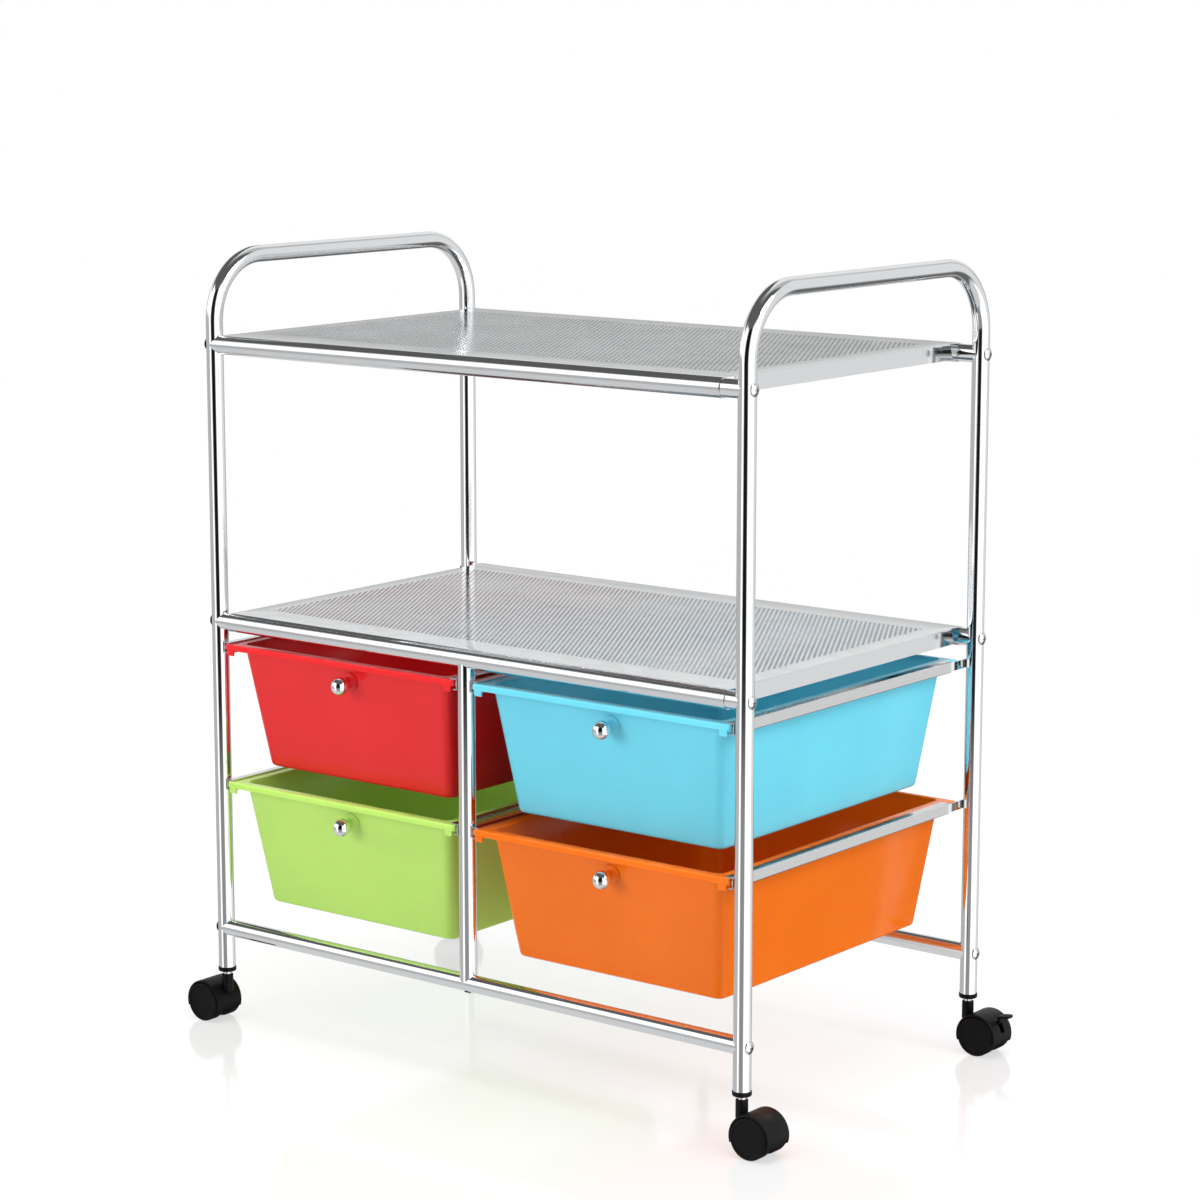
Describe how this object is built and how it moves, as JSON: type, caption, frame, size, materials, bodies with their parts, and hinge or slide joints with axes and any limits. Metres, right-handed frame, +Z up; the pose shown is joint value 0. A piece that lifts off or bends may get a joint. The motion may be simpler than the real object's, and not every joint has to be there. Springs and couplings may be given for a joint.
{
  "type": "rolling drawer cart",
  "caption": "Rolling office cart: chromed tube frame with side handles, perforated sheet shelves, coloured plastic drawers on folded runners and twin-wheel casters.",
  "frame": {"origin": "middle of the cart's footprint on the floor", "axes": "+X to the right seen from the drawer fronts, +Y to the back, +Z up"},
  "size_m": [0.7048, 0.399, 0.744],
  "materials": {
    "chrome_tube": "bright chrome plate",
    "chrome_sheet": "bright chrome plate on perforated sheet",
    "runner_steel": "bright plated folded sheet",
    "bright_steel": "bright zinc plate",
    "knob_chrome": "mirror chrome",
    "black_plastic": "satin moulded nylon",
    "wheel_plastic": "satin moulded nylon",
    "red_plastic": "satin polypropylene",
    "blue_plastic": "satin polypropylene",
    "green_plastic": "satin polypropylene",
    "orange_plastic": "satin polypropylene"
  },
  "bodies": {
    "frame": {"left_side_frame": "chrome_tube", "right_side_frame": "chrome_tube", "top_front_rail": "chrome_tube", "top_rear_rail": "chrome_tube", "middle_front_rail": "chrome_tube", "middle_rear_rail": "chrome_tube", "bottom_front_rail": "chrome_tube", "bottom_rear_rail": "chrome_tube", "front_centre_post": "chrome_tube", "rear_centre_post": "chrome_tube", "rail_end_plugs": "black_plastic", "rail_screws": "bright_steel", "post_end_plugs": "black_plastic", "post_screws": "bright_steel", "top_shelf": "chrome_sheet", "lower_shelf": "chrome_sheet", "upper_left_outer_runner": "runner_steel", "upper_left_centre_runner": "runner_steel", "upper_right_centre_runner": "runner_steel", "upper_right_outer_runner": "runner_steel", "lower_left_outer_runner": "runner_steel", "lower_left_centre_runner": "runner_steel", "lower_right_centre_runner": "runner_steel", "lower_right_outer_runner": "runner_steel", "runner_rivets": "bright_steel", "leg_sockets": "black_plastic", "caster_stems": "bright_steel"},
    "upper_left_drawer": {"upper_left_drawer": "red_plastic", "upper_left_knob": "knob_chrome", "upper_left_knob_screw": "bright_steel"},
    "upper_right_drawer": {"upper_right_drawer": "blue_plastic", "upper_right_knob": "knob_chrome", "upper_right_knob_screw": "bright_steel"},
    "lower_left_drawer": {"lower_left_drawer": "green_plastic", "lower_left_knob": "knob_chrome", "lower_left_knob_screw": "bright_steel"},
    "lower_right_drawer": {"lower_right_drawer": "orange_plastic", "lower_right_knob": "knob_chrome", "lower_right_knob_screw": "bright_steel"},
    "front_left_caster": {"front_left_hood": "black_plastic", "front_left_axle": "bright_steel"},
    "front_left_near_wheel": {"front_left_near_wheel": "wheel_plastic"},
    "front_left_far_wheel": {"front_left_far_wheel": "wheel_plastic"},
    "front_right_caster": {"front_right_hood": "black_plastic", "front_right_axle": "bright_steel"},
    "front_right_near_wheel": {"front_right_near_wheel": "wheel_plastic"},
    "front_right_far_wheel": {"front_right_far_wheel": "wheel_plastic"},
    "rear_left_caster": {"rear_left_hood": "black_plastic", "rear_left_axle": "bright_steel", "rear_left_brake_pin": "bright_steel"},
    "rear_left_near_wheel": {"rear_left_near_wheel": "wheel_plastic"},
    "rear_left_far_wheel": {"rear_left_far_wheel": "wheel_plastic"},
    "rear_left_brake": {"rear_left_brake_lever": "black_plastic"},
    "rear_right_caster": {"rear_right_hood": "black_plastic", "rear_right_axle": "bright_steel", "rear_right_brake_pin": "bright_steel"},
    "rear_right_near_wheel": {"rear_right_near_wheel": "wheel_plastic"},
    "rear_right_far_wheel": {"rear_right_far_wheel": "wheel_plastic"},
    "rear_right_brake": {"rear_right_brake_lever": "black_plastic"}
  },
  "joints": [
    {"name": "upper_left_slide", "type": "slide", "parent": "frame", "child": "upper_left_drawer", "axis": [0, -1, 0], "range_m": [0, 0.28]},
    {"name": "upper_right_slide", "type": "slide", "parent": "frame", "child": "upper_right_drawer", "axis": [0, -1, 0], "range_m": [0, 0.28]},
    {"name": "lower_left_slide", "type": "slide", "parent": "frame", "child": "lower_left_drawer", "axis": [0, -1, 0], "range_m": [0, 0.28]},
    {"name": "lower_right_slide", "type": "slide", "parent": "frame", "child": "lower_right_drawer", "axis": [0, -1, 0], "range_m": [0, 0.28]},
    {"name": "front_left_swivel", "type": "hinge", "parent": "frame", "child": "front_left_caster", "pos_m": [-0.305, -0.182, 0.04], "axis": [0, 0, 1], "continuous": true},
    {"name": "front_left_near_roll", "type": "hinge", "parent": "front_left_caster", "child": "front_left_near_wheel", "pos_m": [-0.323, -0.182, 0.0185], "axis": [0, 1, 0], "continuous": true},
    {"name": "front_left_far_roll", "type": "hinge", "parent": "front_left_caster", "child": "front_left_far_wheel", "pos_m": [-0.323, -0.182, 0.0185], "axis": [0, 1, 0], "continuous": true},
    {"name": "front_right_swivel", "type": "hinge", "parent": "frame", "child": "front_right_caster", "pos_m": [0.305, -0.182, 0.04], "axis": [0, 0, 1], "continuous": true},
    {"name": "front_right_near_roll", "type": "hinge", "parent": "front_right_caster", "child": "front_right_near_wheel", "pos_m": [0.323, -0.182, 0.0185], "axis": [0, 1, 0], "continuous": true},
    {"name": "front_right_far_roll", "type": "hinge", "parent": "front_right_caster", "child": "front_right_far_wheel", "pos_m": [0.323, -0.182, 0.0185], "axis": [0, 1, 0], "continuous": true},
    {"name": "rear_left_swivel", "type": "hinge", "parent": "frame", "child": "rear_left_caster", "pos_m": [-0.305, 0.182, 0.04], "axis": [0, 0, 1], "continuous": true},
    {"name": "rear_left_near_roll", "type": "hinge", "parent": "rear_left_caster", "child": "rear_left_near_wheel", "pos_m": [-0.323, 0.182, 0.0185], "axis": [0, 1, 0], "continuous": true},
    {"name": "rear_left_far_roll", "type": "hinge", "parent": "rear_left_caster", "child": "rear_left_far_wheel", "pos_m": [-0.323, 0.182, 0.0185], "axis": [0, 1, 0], "continuous": true},
    {"name": "rear_left_brake_press", "type": "hinge", "parent": "rear_left_caster", "child": "rear_left_brake", "pos_m": [-0.33332, 0.182, 0.02656], "axis": [0, -1, 0], "range_deg": [0, 16]},
    {"name": "rear_right_swivel", "type": "hinge", "parent": "frame", "child": "rear_right_caster", "pos_m": [0.305, 0.182, 0.04], "axis": [0, 0, 1], "continuous": true},
    {"name": "rear_right_near_roll", "type": "hinge", "parent": "rear_right_caster", "child": "rear_right_near_wheel", "pos_m": [0.323, 0.182, 0.0185], "axis": [0, 1, 0], "continuous": true},
    {"name": "rear_right_far_roll", "type": "hinge", "parent": "rear_right_caster", "child": "rear_right_far_wheel", "pos_m": [0.323, 0.182, 0.0185], "axis": [0, 1, 0], "continuous": true},
    {"name": "rear_right_brake_press", "type": "hinge", "parent": "rear_right_caster", "child": "rear_right_brake", "pos_m": [0.33332, 0.182, 0.02656], "axis": [0, 1, 0], "range_deg": [0, 16]}
  ]
}
